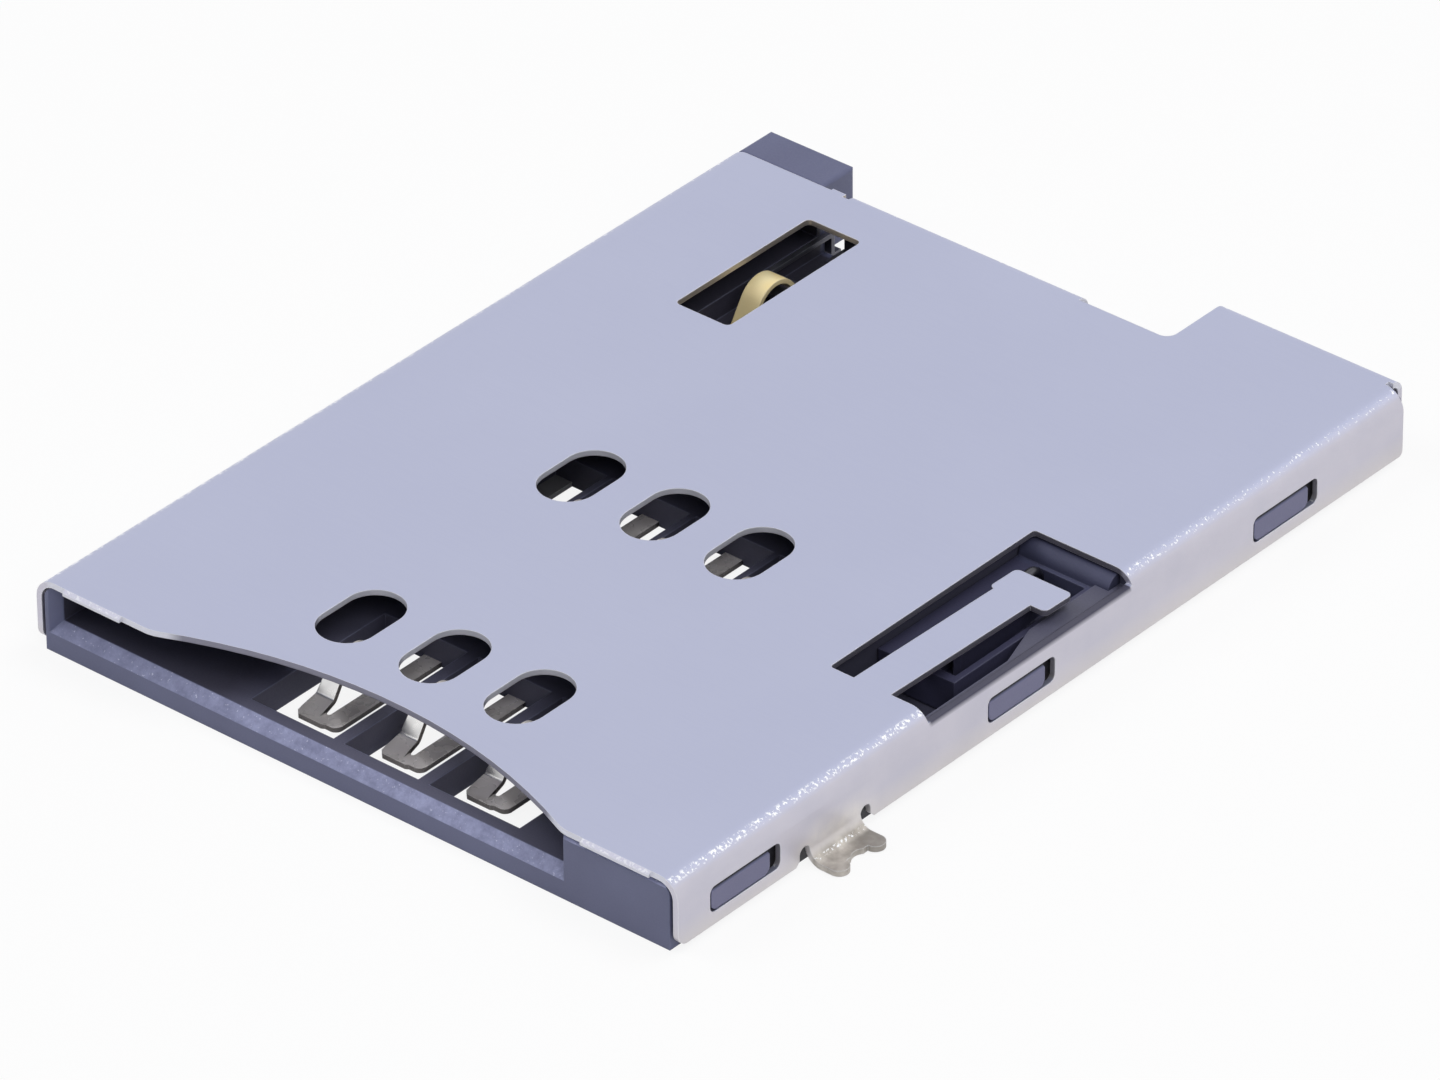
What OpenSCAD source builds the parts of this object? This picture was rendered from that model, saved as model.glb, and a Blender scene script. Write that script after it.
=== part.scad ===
// Push-push card socket for surface mounting, in millimetres.
// Origin: middle of the housing's front edge, on the board. +Y is the way the card goes in, +Z is up.

/* [Card] */
// Width of the card
card_w = 15; // [13:0.1:20]
// Length of the card
card_l = 25; // [22:0.1:32]
// Length of card left outside the socket when it is locked
card_out = 1.525; // [1:0.025:2]
// Distance of the front contact row from the card's outer end
row_from_end = 5; // [4.8:0.1:6]
// Distance between the two contact rows
row_pitch = 7.62; // [6:0.01:9.2]
// Distance between contact columns
col_pitch = 2.54; // [2.5:0.01:3.1]
// Distance from the slot's right wall to the middle contact column
col_from_wall = 6.33; // [5:0.01:7.6]

/* [Housing] */
// Side clearance of the card in the slot
card_gap = 0.075; // [0.05:0.005:0.15]
// Height of the card bay floor above the board
bay_floor = 0.75; // [0.7:0.01:1]
// Height of the card slot
slot_h = 1; // [0.9:0.01:1.2]
// Thickness of the left wall
left_wall = 0.3; // [0.25:0.01:0.5]
// Thickness of the wall between card bay and slider channel
inner_wall = 0.3; // [0.2:0.01:0.5]
// Thickness of the right wall
right_wall = 0.25; // [0.22:0.01:0.5]
// Width of the slider channel
channel_w = 2.73; // [2.6:0.01:3.3]
// Thickness of the floor under the slider
channel_floor = 0.3; // [0.25:0.01:0.36]
// Thickness of the bay's rear wall
bay_rear_wall = 0.28; // [0.25:0.01:0.5]
// Thickness of the extension's walls
ext_wall = 0.3; // [0.25:0.01:0.5]
// Radius of the housing's long top edges
edge_r = 0.3; // [0.26:0.01:0.4]
// Depth of the lead-in chamfer
lead_in = 0.3; // [0.2:0.01:0.5]
// Width of the rear-left block
block_w = 2.63; // [2:0.01:2.65]
// Length of the rear-left block behind the bay
block_l = 1.4; // [1:0.1:2]

/* [Cover] */
// Thickness of the sheet
sheet = 0.15; // [0.12:0.01:0.2]
// Outer radius of the side bends
bend_r = 0.55; // [0.5:0.01:0.6]
// Outer radius of the rear bends
rear_bend_r = 0.35; // [0.3:0.01:0.4]
// Gap between housing sides and flanges
side_gap = 0.1; // [0.06:0.01:0.15]
// Gap between housing top and cover
top_gap = 0.03; // [0.01:0.01:0.05]
// Height of the flanges' lower edges above the board
flange_lift = 0.17; // [0.1:0.01:0.25]
// Depth of the arch cut in the front edge
arch_depth = 1.35; // [0.5:0.05:1.6]
// Width of the arch cut
arch_w = 12.3; // [8:0.1:12.8]
// Width of the contact holes
hole_w = 1.5; // [1:0.05:1.8]
// Length of the contact holes
hole_l = 2.4; // [2:0.05:3]
// Length of the latch windows in the flanges
latch_l = 2.41; // [2:0.01:3]
// Distance between latch windows
latch_pitch = 9.66; // [9:0.01:10.2]
// Width of a solder foot
foot_w = 1.75; // [1.4:0.05:2.2]
// Reach of a solder foot
foot_l = 0.88; // [0.8:0.01:1.2]

/* [Contacts] */
// Thickness of the contact strip
contact_t = 0.13; // [0.1:0.01:0.16]
// Height of the contact point above the card bay floor
crest_over = 0.47; // [0.35:0.01:0.65]
// Length of the flat lip in front of the sprung beam
lip_run = 0.12; // [0.08:0.01:0.4]
// Width of the sprung beam
beam_w = 0.46; // [0.4:0.01:0.5]
// Width of the flat arm
arm_w = 0.52; // [0.4:0.01:0.6]

/* [Switch] */
// Thickness of the switch blade
blade_t = 0.12; // [0.08:0.01:0.15]
// Width of the switch blade
blade_w = 0.58; // [0.5:0.01:0.8]
// Distance from the slot's left wall to the middle of the blade
blade_from_wall = 3.455; // [3.2:0.005:3.9]
// Height of the blade's crest above the card bay floor
blade_over = 0.61; // [0.5:0.01:0.75]

/* [Mechanism] */
// Travel of the card from locked to ejected
eject_stroke = 3.6; // [2.8:0.05:4.2]
// Extra travel that frees or catches the lock
over_travel = 0.5; // [0.4:0.01:0.7]
// Reach of the slider's foot into the card bay
foot_reach = 1.74; // [1.2:0.01:2.2]
// Thickness of the slider's foot
foot_t = 1.8; // [1.2:0.05:2.2]
// Running clearance of the slider
slide_gap = 0.05; // [0.03:0.005:0.08]
// Diameter of the cam pin's wire
pin_d = 0.28; // [0.22:0.01:0.3]
// Radial clearance of the cam pin in its hole
pin_gap = 0.03; // [0.01:0.005:0.06]
// Length of the cam pin from leg to leg, along the travel
pin_run = 7.15; // [6.6:0.05:7.6]
// Sideways distance from the cam's middle to each lane
lane_offset = 0.48; // [0.46:0.01:0.52]
// Diameter of the return spring
spring_d = 1.25; // [1:0.05:1.3]
// Diameter of the spring's wire
spring_wire = 0.16; // [0.1:0.01:0.2]
// Number of turns in the return spring
spring_turns = 11; // [8:1:14]

/* [Hidden] */
$fn = 48;

// Small overlap that makes cuts clean
cut = 0.05;
// Lap that joins two pieces of one solid
lap = 0.01;
// Largest angle of one facet of a bent strip
arc_step = 6;

// Widths, from left to right
slot_w = card_w + 2 * card_gap;
housing_w = left_wall + slot_w + inner_wall + channel_w + right_wall;
housing_x0 = -housing_w / 2;
housing_x1 = housing_w / 2;
bay_x0 = housing_x0 + left_wall;
bay_x1 = bay_x0 + slot_w;
channel_x0 = bay_x1 + inner_wall;
channel_x1 = channel_x0 + channel_w;
cover_x0 = housing_x0 - side_gap - sheet;
cover_x1 = housing_x1 + side_gap + sheet;

// Heights
cover_under = bay_floor + slot_h;
cover_top = cover_under + sheet;
housing_top = cover_under - top_gap;

// Lengths, from the front edge
lock_y = card_l - card_out;
travel = eject_stroke + over_travel;
foot_y = lock_y - eject_stroke;
end_gap = 0.045;
bay_y1 = lock_y + over_travel + end_gap;
housing_y1 = bay_y1 + bay_rear_wall;
foot_end_gap = 0.165;
ext_y1_in = foot_y + foot_t + travel + foot_end_gap;
ext_rear_wall = ext_wall + 0.05;
ext_y1 = ext_y1_in + ext_rear_wall;
foot_x0 = bay_x1 - foot_reach;
ext_x0 = foot_x0 - slide_gap - ext_wall;

// Contact places: columns from left to right, rows from front to rear
mid_col = bay_x1 - col_from_wall;
cols = [mid_col - col_pitch, mid_col, mid_col + col_pitch];
row_front = row_from_end - card_out;
rows = [row_front, row_front + row_pitch];

// Contact windows in the floor, measured from each contact point
window_front = 2.825;
window_rear = 1.725;
window_left = 0.55;
window_right = [1.66, 1.81];
window_more_left = 0.29;
window_more_right = 0.47;

// Contact strip, measured from the contact point
beam_x1 = 0.21;
beam_x0 = beam_x1 - beam_w;
strip_slot = 0.13;
arm_x0 = beam_x1 + strip_slot;
arm_x1 = arm_x0 + arm_w;
anchor_l = 1.2;
lip_x0 = -0.38;
lip_corner = 0.12;
lip_side = 0.25;
lip_taper = 1.1;
cross_l = 0.38;
shoulder_x0 = 0.42;
shoulder_x1 = 0.5;
shoulder_back = 0.05;
cross_r = 0.2;
beam_ramp = 21;
beam_rise = 58;
beam_shoulder = 22;
beam_tip = 35;
ramp_run = 0.46;
shoulder_run = 0.4;
tip_run = 0.15;
ramp_r = 0.3;
rise_r = 0.2;
shoulder_r = 0.25;
crest_r = 0.45;
crest_back = 0.15;
slim_x0 = -0.12;
slim_y0 = -0.75;
slim_y1 = -0.3;

// Rise and run of the sprung beam along its middle line; the steep straight makes up the height
crest_h = bay_floor + crest_over;
bends_rise = bend_up(0, beam_ramp, ramp_r) + ramp_run * sin(beam_ramp)
    + bend_up(beam_ramp, beam_rise, rise_r) + bend_up(beam_rise, beam_shoulder, shoulder_r)
    + shoulder_run * sin(beam_shoulder) + bend_up(beam_shoulder, 0, crest_r);
rise_run = (crest_h - contact_t - bends_rise) / sin(beam_rise);
beam_run = bend_along(0, beam_ramp, ramp_r) + ramp_run * cos(beam_ramp)
    + bend_along(beam_ramp, beam_rise, rise_r) + rise_run * cos(beam_rise)
    + bend_along(beam_rise, beam_shoulder, shoulder_r) + shoulder_run * cos(beam_shoulder)
    + bend_along(beam_shoulder, 0, crest_r);
lip_y = -crest_back - lip_run - beam_run;

// Detect switch
blade_x = bay_x0 + blade_from_wall;
blade_y = lock_y - 2.37;
blade_h = bay_floor + blade_over;
blade_seat = 0.2;
blade_rise = 57;
blade_fall = 50;
blade_foot_r = 0.25;
blade_crest_r = 0.69;
blade_tip_run = 0.28;
tail_x = blade_x + 0.73;
tail_y0 = rows[1] - 0.2;
tail_y1 = rows[1] + window_rear;
tail_step_y = tail_y1 + 0.4;
jog_y0 = tail_step_y + 1.2;
jog_l = 0.8;
recess_x0 = blade_x - 0.905;
recess_x1 = blade_x + 1.495;
recess_y0 = blade_y - 3.4;
recess_y1 = lock_y - 0.15;
gate_x1 = blade_x - 0.055;
fixed_t = 0.12;
fixed_z = bay_floor - 0.15;
fixed_y0 = blade_y + 0.27;
fixed_pad_l = 0.8;
fixed_x0 = recess_x0 - 0.5;
fixed_x1 = recess_x0 + 0.14;
fixed_leg_w = 0.33;
fixed_foot_l = 0.2;
fixed_bend_r = 0.1;
tail_window_x1 = cols[0] - window_left - 0.17;
tail_window_w = 1.6;
tail_window_l = 2.5;

// Slider, cam and pin
cam_x = channel_x0 + 1.42;
follower_y = foot_y - 4.525;
pivot_y = follower_y - pin_run;
pin_drop = 0.3;
pin_float = 0.05;
pin_z = cover_under - pin_drop;
pin_under = pin_z - pin_d / 2 - pin_float;
pin_bend_r = 0.3;
pin_leg_foot = 0.5;
follower_foot = pin_under - 0.28;
pin_angle = atan(lane_offset / pin_run);
pin_len = sqrt(pow(pin_run, 2) + pow(lane_offset, 2));
lane_w = pin_d + 0.14;
groove_x0 = cam_x - lane_offset - lane_w / 2;
groove_x1 = cam_x + lane_offset + lane_w / 2;
groove_y0 = follower_y - travel - 0.3;
groove_y1 = follower_y + 0.27;
groove_floor = pin_under - 0.56;
plate_x1 = groove_x1 + 0.17;
plate_y0 = groove_y0 - 0.25;
step_y = follower_y + 0.38;
slider_x0 = channel_x0 + slide_gap;
slider_x1 = channel_x1 - slide_gap;
slider_z0 = channel_floor + 0.04;
slider_z1 = cover_under - 0.07;
slider_step_r = 0.42;
shoulder_y = step_y + 2.67;
slider_arm_x1 = slider_x0 + 0.87;
foot_chamfer = 0.2;
foot_cut = 0.5;
foot_z0 = bay_floor + slide_gap;
channel_y0 = pivot_y + 0.7;
channel_front_x1 = channel_x1 + 0.04;
wedge_y0 = step_y - 3.73;
wedge_y1 = step_y - 2.43;
wedge_x = plate_x1 + 0.06;
sunk_wall_z = cover_under - 0.34;
sunk_more = 0.1;

// Return spring
spring_x = (slider_arm_x1 + channel_x1) / 2;
spring_z = (channel_floor + cover_under) / 2 - 0.005;
spring_y0 = shoulder_y;
spring_y1 = ext_y1_in;
post_d = spring_d - 2 * spring_wire - 0.23;
post_l = 0.9;
spring_sides = 8;
spring_steps = 14;
closed_turns = 1;

// Cover outline
cover_front = 0;
plain_left_y = housing_y1 + 0.15;
plain_step_x = housing_x0 + block_w + 0.31;
plain_step_y = plain_left_y + 0.07;
flange_y = housing_y1 + 0.43;
ext_flange_y = ext_y1 + side_gap + sheet;
step_x = ext_x0 - 0.05;
flange_x0 = cover_x0 + 3.79;
flange_x1 = step_x - 2.7;
rear_gap = 0.1;
side_end = ext_flange_y - rear_bend_r - 0.14;
rear_overhang = 0.12;
step_r = 0.3;
flange_corner_r = 0.32;
rear_corner_r = 0.14;
arch_x = (bay_x0 + bay_x1) / 2 + 1.575;
arch_blend_r = 0.9;
stub_out = 0.08;
stub_bevel = 0.07;
stub_places = [[cover_x0 + 0.9, 1.75], [cover_x1 - 2.78, 2]];
window_x0 = channel_x0 + 0.3;
window_y0 = pivot_y + 0.5;
window_y1 = follower_y + 0.65;
window_z = cover_top - 0.31;
window_r = 0.1;
tongue_x0 = channel_x0 + 1;
tongue_w = 1.08;
tongue_root = 0.3;
tongue_head_y = window_y1 - 2.34;
tongue_head_l = 1;
tongue_head_left = 0.13;
tongue_head_right = 0.44;
tongue_head_r = 0.15;
tongue_drop = 0.14;
detect_w = 1.65;
detect_l = 4.9;
detect_x = blade_x + 0.42;
detect_y = lock_y - 2.825;
detect_r = 0.15;
latch_y0 = 1.08;
latch_z0 = 0.5;
latch_z1 = 1.19;
latch_r = 0.18;
lug_short = 0.35;
lug_gap = 0.03;
lug_front_gap = 0.07;
lug_sunk = 0.02;
lug_bevel = 0.12;
side_foot_y = 5.38;
foot_notch = 0.36;
foot_root_z = 0.6;
foot_lobe_r = 0.25;
foot_cut_r = 0.33;
relief_flare = 0.12;
fold_r = 0.4;

// Rear-left block
block_gap = 0.02;
block_r = 0.12;
block_edge_r = 0.1;
block_top = cover_top - 0.04;

// Outline helpers

// Every point of a list, last one first
function reversed(v) = [for (i = [len(v) - 1:-1:0]) v[i]];

// Points along one edge of a bent strip; path holds [straight run, turn angle, bend radius]
function strip_edge(path, off, p = [0, 0], a = 0, i = 0) =
    i == len(path) ? [] :
    let (
        turn = path[i][1],
        r = path[i][2],
        s = sign(turn),
        q = p + path[i][0] * [cos(a), sin(a)],
        c = q + s * r * [-sin(a), cos(a)],
        n = ceil(abs(turn) / arc_step),
        bend = [for (k = [0:n]) let (b = a + turn * k / n) c + (s * r - off) * [sin(b), -cos(b)]],
        end = turn == 0 ? q : c + s * r * [sin(a + turn), -cos(a + turn)]
    )
    concat(turn == 0 ? [q + off * [-sin(a), cos(a)]] : bend, strip_edge(path, off, end, a + turn, i + 1));

// Closed outline of a bent strip whose middle line starts at the origin
function strip_outline(path, t) = concat(
    [[0, t / 2]], strip_edge(path, t / 2),
    reversed(concat([[0, -t / 2]], strip_edge(path, -t / 2))));

// How far a bend between two headings goes along and up
function bend_along(a0, a1, r) = r * abs(sin(a1) - sin(a0));
function bend_up(a0, a1, r) = r * abs(cos(a1) - cos(a0));

// Drawn in the plane of X and Z, pushed along Y
module along_y(y0, y1) {
    translate([0, y1, 0]) rotate([90, 0, 0]) linear_extrude(y1 - y0) children();
}

// Drawn in the plane of Y and Z, pushed along X
module along_x(x0, x1) {
    translate([x0, 0, 0]) rotate([90, 0, 90]) linear_extrude(x1 - x0) children();
}

// Box from one corner to the other
module box(a, b) {
    translate(a) cube(b - a);
}

// Rectangle with round corners, around its middle
module round_rect(w, l, r) {
    square([w, l - 2 * r], center = true);
    square([w - 2 * r, l], center = true);
    for (x = [-1, 1], y = [-1, 1]) translate([x * (w / 2 - r), y * (l / 2 - r)]) circle(r);
}

// Rectangle that stands on the X axis with its two upper corners round
module round_top(x0, x1, h, r) {
    translate([x0, 0]) square([x1 - x0, h - r]);
    translate([x0 + r, 0]) square([x1 - x0 - 2 * r, h]);
    for (x = [x0 + r, x1 - r]) translate([x, h - r]) circle(r);
}

// Slot with half-round ends, around its middle
module obround(w, l) {
    square([w, l - w], center = true);
    for (y = [-1, 1]) translate([0, y * (l - w) / 2]) circle(w / 2);
}

// Housing

// Outer form: its plan, cut to the rounded sections that the cover's bends leave room for
module housing_body() {
    pad_y = flange_y - sheet - side_gap;
    ahead_y = -1;
    intersection() {
        linear_extrude(housing_top) {
            polygon([
                [housing_x0, 0], [housing_x1, 0], [housing_x1, ext_y1], [ext_x0, ext_y1],
                [ext_x0, housing_y1], [housing_x0, housing_y1]]);
            block_plan();
        }
        along_y(-cut, ext_y1 + cut) round_top(housing_x0, housing_x1, housing_top, edge_r);
        along_x(housing_x0 - cut, housing_x1 + cut) round_top(ahead_y, ext_y1, housing_top, edge_r);
    }
    raised_block();
    box([flange_x0 + rear_gap, housing_y1 - cut, 0], [flange_x1 - rear_gap, pad_y, housing_top - edge_r]);
}

// Plan of the rear-left block; its front corners lie inside the housing
module block_plan() {
    inside = 1;
    translate([housing_x0 + block_w / 2, housing_y1 + (block_l - inside) / 2])
        round_rect(block_w, block_l + inside, block_r);
}

// Part of the block that stands as high as the cover, behind the cover's edge
module raised_block() {
    block_x1 = housing_x0 + block_w;
    block_y1 = housing_y1 + block_l;
    intersection() {
        linear_extrude(block_top) block_plan();
        along_x(housing_x0, block_x1) round_top(plain_left_y + block_gap, block_y1, block_top, block_edge_r);
        along_y(housing_y1, block_y1) round_top(housing_x0, block_x1, block_top, block_edge_r);
    }
}

// Card bay with its lead-in: both side walls and the sill flare towards the mouth
module card_bay() {
    box([bay_x0, -cut, bay_floor], [bay_x1, bay_y1, cover_top]);
    side_flare = lead_in * 2 / 3;
    sill_z = bay_floor - lead_in * 5 / 6;
    intersection() {
        translate([0, 0, -cut]) linear_extrude(cover_top) polygon([
            [bay_x0, lead_in], [bay_x0 - side_flare, 0], [bay_x0 - side_flare, -cut],
            [bay_x1 + side_flare, -cut], [bay_x1 + side_flare, 0], [bay_x1, lead_in]]);
        along_x(bay_x0 - side_flare, bay_x1 + side_flare) polygon([
            [-cut, sill_z], [0, sill_z], [lead_in, bay_floor], [lead_in, cover_top], [-cut, cover_top]]);
    }
}

// Bevel along the top front edge, under the cover's edge
module front_bevel() {
    bevel_l = 0.12;
    bevel_z = housing_top - 0.09;
    along_x(cover_x0, cover_x1) polygon([
        [-cut, bevel_z], [0, bevel_z], [bevel_l, housing_top], [bevel_l, cover_top], [-cut, cover_top]]);
}

// Openings in the floor round the sprung contacts, so that they can flex
module contact_windows() {
    for (r = [0, 1], c = [0:2]) {
        more_left = r == 0 && c == 0 ? window_more_left : 0;
        more_right = r == 0 && c == 2 ? window_more_right : 0;
        box([cols[c] - window_left - more_left, rows[r] - window_front, -cut],
            [cols[c] + window_right[r] + more_right, rows[r] + window_rear, cover_top]);
    }
    box([tail_window_x1 - tail_window_w, tail_y1 - tail_window_l, -cut],
        [tail_window_x1, tail_y1, cover_top]);
}

// Recess for the detect switch; a gate in the rear wall lets the fixed contact out
module switch_recess() {
    box([recess_x0, recess_y0, blade_seat], [recess_x1, recess_y1, cover_top]);
    box([recess_x0, recess_y1 - cut, blade_seat], [gate_x1, housing_y1 + cut, cover_top]);
}

// Slider channel, with a shoulder and a wedge that narrow it in front of the slider's step
module slider_channel() {
    translate([0, 0, channel_floor]) linear_extrude(cover_top) polygon([
        [channel_x0, channel_y0], [channel_front_x1, channel_y0], [channel_front_x1, wedge_y0],
        [wedge_x, wedge_y1], [wedge_x, step_y - slide_gap], [channel_x1, step_y - slide_gap],
        [channel_x1, ext_y1_in], [channel_x0, ext_y1_in]]);
    foot_path_y = foot_y - slide_gap / 2;
    box([bay_x1 - cut, foot_path_y, bay_floor], [channel_x0 + cut, ext_y1_in, cover_top]);
    box([foot_x0 - slide_gap, bay_y1 - cut, bay_floor], [channel_x0 + cut, ext_y1_in, cover_top]);
    box([plate_x1, window_y0 - sunk_more, sunk_wall_z], [cover_x1, window_y1 + sunk_more, cover_top]);
}

// Blind hole for the cam pin's leg, and the trough in which its wire swings
module pin_seat() {
    trough_w = pin_d + 0.3;
    trough_z = pin_z - pin_bend_r - pin_float;
    translate([cam_x, pivot_y, pin_leg_foot - pin_float]) cylinder(h = cover_top, d = pin_d + 2 * pin_gap);
    translate([cam_x - trough_w / 2, pivot_y - pin_d, trough_z])
        cube([trough_w, channel_y0 + cut - pivot_y + pin_d, cover_top]);
}

// Snap lug that fills a latch window, bevelled above so that the flange rides over it
module latch_lug(y0) {
    lug_out = cover_x1 - lug_sunk;
    lug_top = latch_z1 - lug_gap;
    lug_l = latch_l - lug_short - lug_front_gap;
    lug_h = latch_z1 - latch_z0 - 2 * lug_gap;
    intersection() {
        along_y(y0, y0 + latch_l) polygon([
            [housing_x1 - cut, latch_z0], [lug_out, latch_z0], [lug_out, lug_top - lug_bevel],
            [lug_out - lug_bevel, lug_top], [housing_x1 - cut, lug_top]]);
        along_x(housing_x1 - 2 * cut, lug_out + cut)
            translate([y0 + lug_front_gap + lug_l / 2, (latch_z0 + latch_z1) / 2])
                round_rect(lug_l, lug_h, latch_r);
    }
}

// Post that holds one end of the return spring
module spring_post(y0) {
    translate([spring_x, y0, spring_z]) rotate([-90, 0, 0]) cylinder(h = post_l + cut, d = post_d);
}

module housing() color("#5f627c") {
    difference() {
        housing_body();
        card_bay();
        front_bevel();
        contact_windows();
        switch_recess();
        slider_channel();
        pin_seat();
        for (c = cols, r = rows) translate([c, r, 0]) contact_arm(window_rear - cut);
        blade_tail();
        fixed_root();
    }
    spring_post(ext_y1_in - post_l);
    for (k = [0:2], side = [0, 1]) mirror([side, 0, 0]) latch_lug(latch_y0 + k * latch_pitch);
}

// Cover

// Area that the arch removes from the front edge, with blended ends
module arch_area() {
    half = arch_w / 2;
    r = (pow(half, 2) + pow(arch_depth, 2)) / (2 * arch_depth);
    centre_y = arch_depth - r;
    blend_x = sqrt(pow(r + arch_blend_r, 2) - pow(arch_blend_r - centre_y, 2));
    touch = [blend_x, arch_blend_r] * r / (r + arch_blend_r)
        + [0, centre_y] * arch_blend_r / (r + arch_blend_r);
    margin = 1;
    translate([arch_x, cover_front]) {
        translate([0, centre_y]) circle(r, $fn = 360);
        for (side = [0, 1]) mirror([side, 0]) difference() {
            polygon([
                [half - margin, 0], touch, [blend_x, 0], [blend_x, -margin], [half - margin, -margin]]);
            translate([blend_x, arch_blend_r]) circle(arch_blend_r);
        }
    }
}

// Folded section: top and both side flanges, bent over the outer radius
module folded_section() {
    difference() {
        round_top(cover_x0, cover_x1, cover_top, bend_r);
        round_top(cover_x0 + sheet, cover_x1 - sheet, cover_under, bend_r - sheet);
        translate([cover_x0 - cut, -cut]) square([cover_x1 - cover_x0 + 2 * cut, flange_lift + cut]);
    }
}

// Rear flange: a quarter bend and a short wall
module rear_flange(x0, x1, y1) {
    y0 = y1 - 3 * rear_bend_r;
    along_x(x0, x1) difference() {
        round_top(y0, y1, cover_top, rear_bend_r);
        round_top(y0 - sheet, y1 - sheet, cover_under, rear_bend_r - sheet);
        translate([y0 - cut, -cut]) square([y1 - y0 + 2 * cut, flange_lift + cut]);
        translate([y0 - cut, -cut]) square([y1 - rear_bend_r - y0 + cut, cover_top + 2 * cut]);
    }
}

// Bevelled stub that is left where the carrier strip was cut off
module carrier_stub(x0, w) {
    along_x(x0, x0 + w) polygon([
        [cover_front + cut, cover_under], [cover_front - stub_out, cover_under],
        [cover_front - stub_out, cover_top - stub_bevel], [cover_front, cover_top],
        [cover_front + cut, cover_top]]);
}

// Solder foot, drawn at a flange whose outer face is at X = 0; it bends out onto the board
module solder_foot() {
    path = [[foot_root_z + cut - sheet / 2 - fold_r, 90, fold_r], [foot_l - fold_r + sheet / 2, 0, 0]];
    intersection() {
        translate([0, foot_w / 2, 0]) rotate([90, 0, 0]) linear_extrude(foot_w)
            translate([-sheet / 2, foot_root_z + cut]) rotate(-90) polygon(strip_outline(path, sheet));
        translate([0, 0, -cut]) linear_extrude(cover_top) difference() {
            union() {
                translate([-2 * sheet, -foot_w / 2]) square([foot_l + 2 * sheet - foot_lobe_r, foot_w]);
                for (y = [-1, 1]) translate([foot_l - foot_lobe_r, y * (foot_w / 2 - foot_lobe_r)])
                    circle(foot_lobe_r);
            }
            translate([foot_l, 0]) circle(foot_cut_r);
        }
    }
}

// Clearance cut in a flange round a solder foot, with half-round notch ends and bevelled lower corners
module foot_relief() {
    half = foot_w / 2 + foot_notch;
    notch_z = foot_root_z - foot_notch / 2;
    flare_z = flange_lift + relief_flare;
    along_x(-2 * sheet, sheet) {
        translate([-half, -cut]) square([2 * half, notch_z + cut]);
        for (y = [-1, 1]) translate([y * (half - foot_notch / 2), notch_z]) circle(d = foot_notch);
        polygon([
            [-half, flare_z], [-half - relief_flare, flange_lift], [-half - relief_flare, -cut],
            [half + relief_flare, -cut], [half + relief_flare, flange_lift], [half, flare_z]]);
    }
}

// Puts a foot or its relief on both side flanges and both rear flanges
module at_side_feet() {
    for (side = [0, 1]) mirror([side, 0, 0]) translate([cover_x1, side_foot_y, 0]) children();
}

module at_rear_feet() {
    translate([(flange_x0 + flange_x1) / 2, flange_y, 0]) rotate(90) children();
    translate([(step_x + cover_x1) / 2, ext_flange_y, 0]) rotate(90) children();
}

// Rounds one lower corner of the side flanges, at the given end
module flange_corner(y, way, r) {
    translate([cover_x0 - cut, y, flange_lift]) mirror([0, way < 0 ? 1 : 0, 0]) difference() {
        box([0, -cut, -cut], [cover_x1 - cover_x0 + 2 * cut, r, r]);
        translate([-cut, r, r]) rotate([0, 90, 0]) cylinder(h = cover_x1 - cover_x0 + 4 * cut, r = r);
    }
}

// Tongue with a T-shaped head that holds the cam pin down in its groove
module tongue() {
    tip_y = tongue_head_y + tongue_head_l;
    root_y = window_y0 - tongue_root;
    head_x0 = tongue_x0 - tongue_head_left;
    head_x1 = tongue_x0 + tongue_w + tongue_head_right;
    intersection() {
        along_x(head_x0 - cut, head_x1 + cut) polygon([
            [root_y, cover_under], [window_y0, cover_under], [tip_y, cover_under - tongue_drop],
            [tip_y, cover_top - tongue_drop], [window_y0, cover_top], [root_y, cover_top]]);
        linear_extrude(2 * cover_top) {
            translate([tongue_x0, root_y]) square([tongue_w, tip_y - root_y - tongue_head_l / 2]);
            translate([(head_x0 + head_x1) / 2, tip_y - tongue_head_l / 2])
                round_rect(head_x1 - head_x0, tongue_head_l, tongue_head_r);
        }
    }
}

// Area behind the flange's bend line, left of the extension; its inner corner is round
module rear_step() {
    y0 = flange_y - rear_bend_r;
    difference() {
        translate([flange_x0 - 2 * rear_gap, y0])
            square([step_x - flange_x0 + 2 * rear_gap, ext_flange_y - y0]);
        difference() {
            translate([step_x - step_r, y0 - cut]) square([step_r + cut, step_r + cut]);
            translate([step_x - step_r, y0 + step_r]) circle(step_r);
        }
    }
}

// Everything that is punched out of the folded sheet
module cover_cuts() {
    margin = 1;
    window_w = cover_x1 - window_x0 + margin;
    translate([0, 0, cover_under - cut]) linear_extrude(margin) {
        arch_area();
        for (c = cols, r = rows) translate([c, r]) obround(hole_w, hole_l);
        translate([detect_x, detect_y]) round_rect(detect_w, detect_l, detect_r);
    }
    translate([0, 0, window_z]) linear_extrude(margin)
        translate([window_x0 + window_w / 2, (window_y0 + window_y1) / 2])
            round_rect(window_w, window_y1 - window_y0, window_r);
    for (k = [0:2]) along_x(cover_x0 - margin, cover_x1 + margin)
        translate([latch_y0 + latch_l / 2 + k * latch_pitch, (latch_z0 + latch_z1) / 2])
            round_rect(latch_l, latch_z1 - latch_z0, latch_r);
    flange_corner(cover_front, 1, flange_corner_r);
    box([cover_x0 - cut, plain_left_y, -cut], [plain_step_x, ext_flange_y, cover_top + cut]);
    box([plain_step_x - cut, plain_step_y, -cut], [flange_x0 - rear_gap, ext_flange_y, cover_top + cut]);
    translate([0, 0, -cut]) linear_extrude(cover_top + 2 * cut) rear_step();
}

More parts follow.
